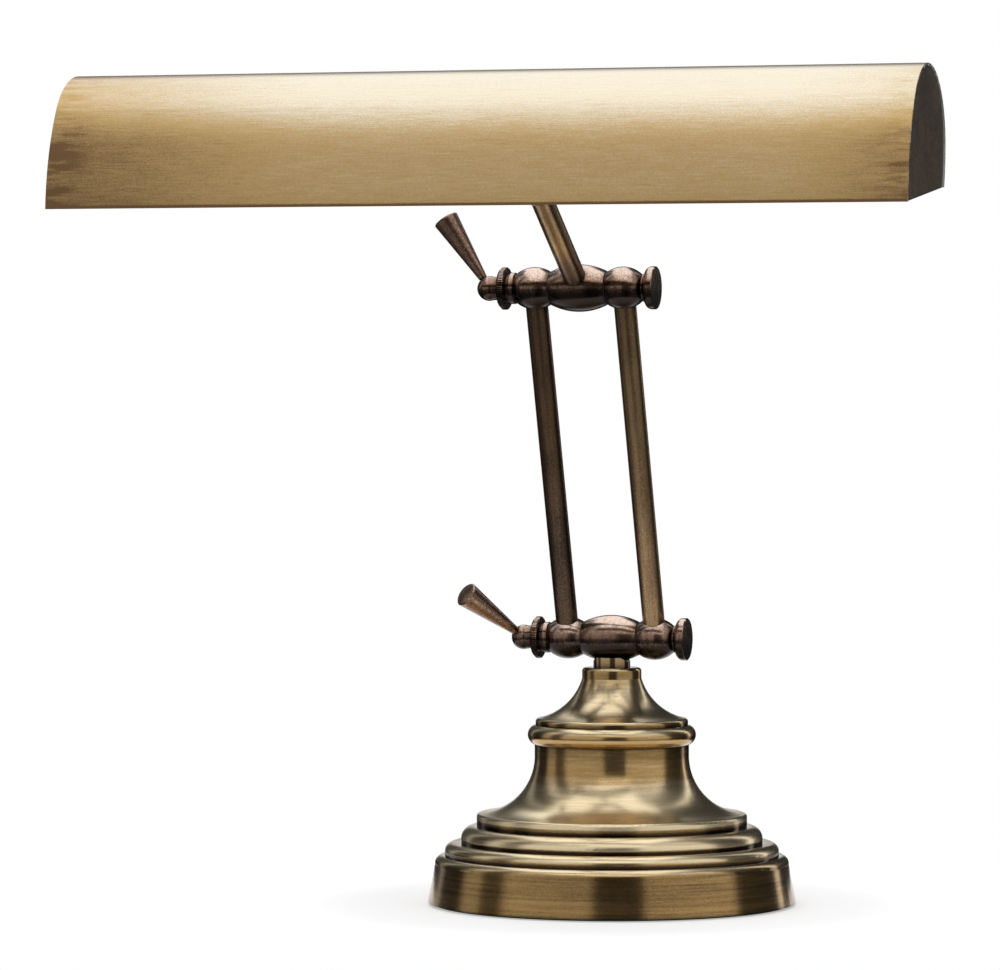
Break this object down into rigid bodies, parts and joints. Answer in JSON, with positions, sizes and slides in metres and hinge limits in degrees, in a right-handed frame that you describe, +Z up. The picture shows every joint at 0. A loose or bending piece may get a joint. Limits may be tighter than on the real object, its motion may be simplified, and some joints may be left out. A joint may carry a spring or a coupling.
{
  "type": "piano lamp",
  "caption": "Weighted table lamp with paired arms between clamped friction joints and a long half-round brass shade that swivels over a keyboard.",
  "frame": {"origin": "centre of the felt under the base, on the table top", "axes": "+Z up; +X along the shade and both joint bars, the levers on the -X side; -Y towards the player, the way the arms lean"},
  "size_m": [0.3556, 0.2936, 0.3506],
  "materials": {
    "antique_brass_spun": "circumferentially brushed antique brass, dark in the grooves",
    "antique_brass_sheet": "antique brass sheet brushed lengthwise, browned at its edges",
    "antique_brass_turned": "dark reddish antique brass, polished on the high spots",
    "antique_brass_tube": "brown antique brass tube",
    "brass_plain": "bare brass",
    "iron_weight": "rough casting",
    "zinc_steel": "zinc-plated steel",
    "steel_pipe": "threaded steel pipe",
    "green_felt": "short felt",
    "fibre": "dark vulcanised fibre",
    "black_plastic": "satin black",
    "porcelain": "glazed white",
    "clear_glass": "clear glass",
    "filament_metal": "fine dark wire on a glass stem"
  },
  "bodies": {
    "base": {"felt_pad": "green_felt", "base_weight": "iron_weight", "base_skirt": "antique_brass_spun", "base_cap": "antique_brass_spun", "stem_pipe": "steel_pipe", "stem_washer": "zinc_steel", "stem_nut": "zinc_steel", "neck_collar": "antique_brass_spun", "cord_inlet_bushing": "black_plastic", "lower_barrel": "antique_brass_turned"},
    "arms": {"left_arm_tube": "antique_brass_tube", "right_arm_tube": "antique_brass_tube", "lower_left_knuckle": "antique_brass_turned", "lower_right_knuckle": "antique_brass_turned", "lower_clamp_bolt": "antique_brass_turned", "lower_friction_washers": "fibre", "lower_lock_washer": "antique_brass_turned", "upper_left_knuckle": "antique_brass_turned", "upper_right_knuckle": "antique_brass_turned", "upper_clamp_bolt": "antique_brass_turned", "upper_friction_washers": "fibre", "upper_lock_washer": "antique_brass_turned"},
    "upper_arm": {"upper_barrel": "antique_brass_turned", "upper_arm_tube": "antique_brass_tube", "swivel_fork": "antique_brass_turned", "swivel_screw": "antique_brass_turned", "swivel_nut": "antique_brass_turned"},
    "shade": {"swivel_eye": "antique_brass_turned", "stud_washer": "zinc_steel", "stud_nut": "zinc_steel", "shade_shell": "antique_brass_sheet", "left_end_cap": "antique_brass_sheet", "right_end_cap": "antique_brass_sheet", "socket_bracket": "zinc_steel", "holder_screws": "zinc_steel", "switch_body": "black_plastic", "switch_ring_nut": "antique_brass_turned", "left_lampholder": "porcelain", "left_centre_contact": "brass_plain", "left_screw_shell": "brass_plain", "left_bulb_cap": "brass_plain", "left_bulb_glass": "clear_glass", "left_filament": "filament_metal", "right_lampholder": "porcelain", "right_centre_contact": "brass_plain", "right_screw_shell": "brass_plain", "right_bulb_cap": "brass_plain", "right_bulb_glass": "clear_glass", "right_filament": "filament_metal"},
    "switch_knob": {"switch_knob": "antique_brass_turned"},
    "lower_nut": {"lower_knurled_nut": "antique_brass_turned"},
    "lower_lever": {"lower_lever_hub": "antique_brass_turned", "lower_lever_handle": "antique_brass_turned"},
    "upper_nut": {"upper_knurled_nut": "antique_brass_turned"},
    "upper_lever": {"upper_lever_hub": "antique_brass_turned", "upper_lever_handle": "antique_brass_turned"}
  },
  "joints": [
    {"name": "lower_tilt", "type": "hinge", "parent": "base", "child": "arms", "pos_m": [0, 0, 0.1143], "axis": [1, 0, 0], "range_deg": [-35, 40]},
    {"name": "upper_tilt", "type": "hinge", "parent": "arms", "child": "upper_arm", "pos_m": [0, -0.0509, 0.26467], "axis": [1, 0, 0], "range_deg": [-60, 50]},
    {"name": "shade_tilt", "type": "hinge", "parent": "upper_arm", "child": "shade", "pos_m": [0, -0.12798, 0.31397], "axis": [1, 0, 0], "range_deg": [-60, 60]},
    {"name": "switch_turn", "type": "hinge", "parent": "shade", "child": "switch_knob", "pos_m": [0.062, -0.12798, 0.31397], "axis": [0, 0.9968, -0.0802], "range_deg": [0, 90]},
    {"name": "lower_lever_turn", "type": "hinge", "parent": "arms", "child": "lower_lever", "pos_m": [0, 0, 0.1143], "axis": [1, 0, 0], "range_deg": [-90, 90]},
    {"name": "lower_nut_turn", "type": "hinge", "parent": "arms", "child": "lower_nut", "pos_m": [0, 0, 0.1143], "axis": [1, 0, 0], "range_deg": [-180, 180]},
    {"name": "upper_lever_turn", "type": "hinge", "parent": "arms", "child": "upper_lever", "pos_m": [0, -0.0509, 0.26467], "axis": [1, 0, 0], "range_deg": [-90, 90]},
    {"name": "upper_nut_turn", "type": "hinge", "parent": "arms", "child": "upper_nut", "pos_m": [0, -0.0509, 0.26467], "axis": [1, 0, 0], "range_deg": [-180, 180]}
  ]
}
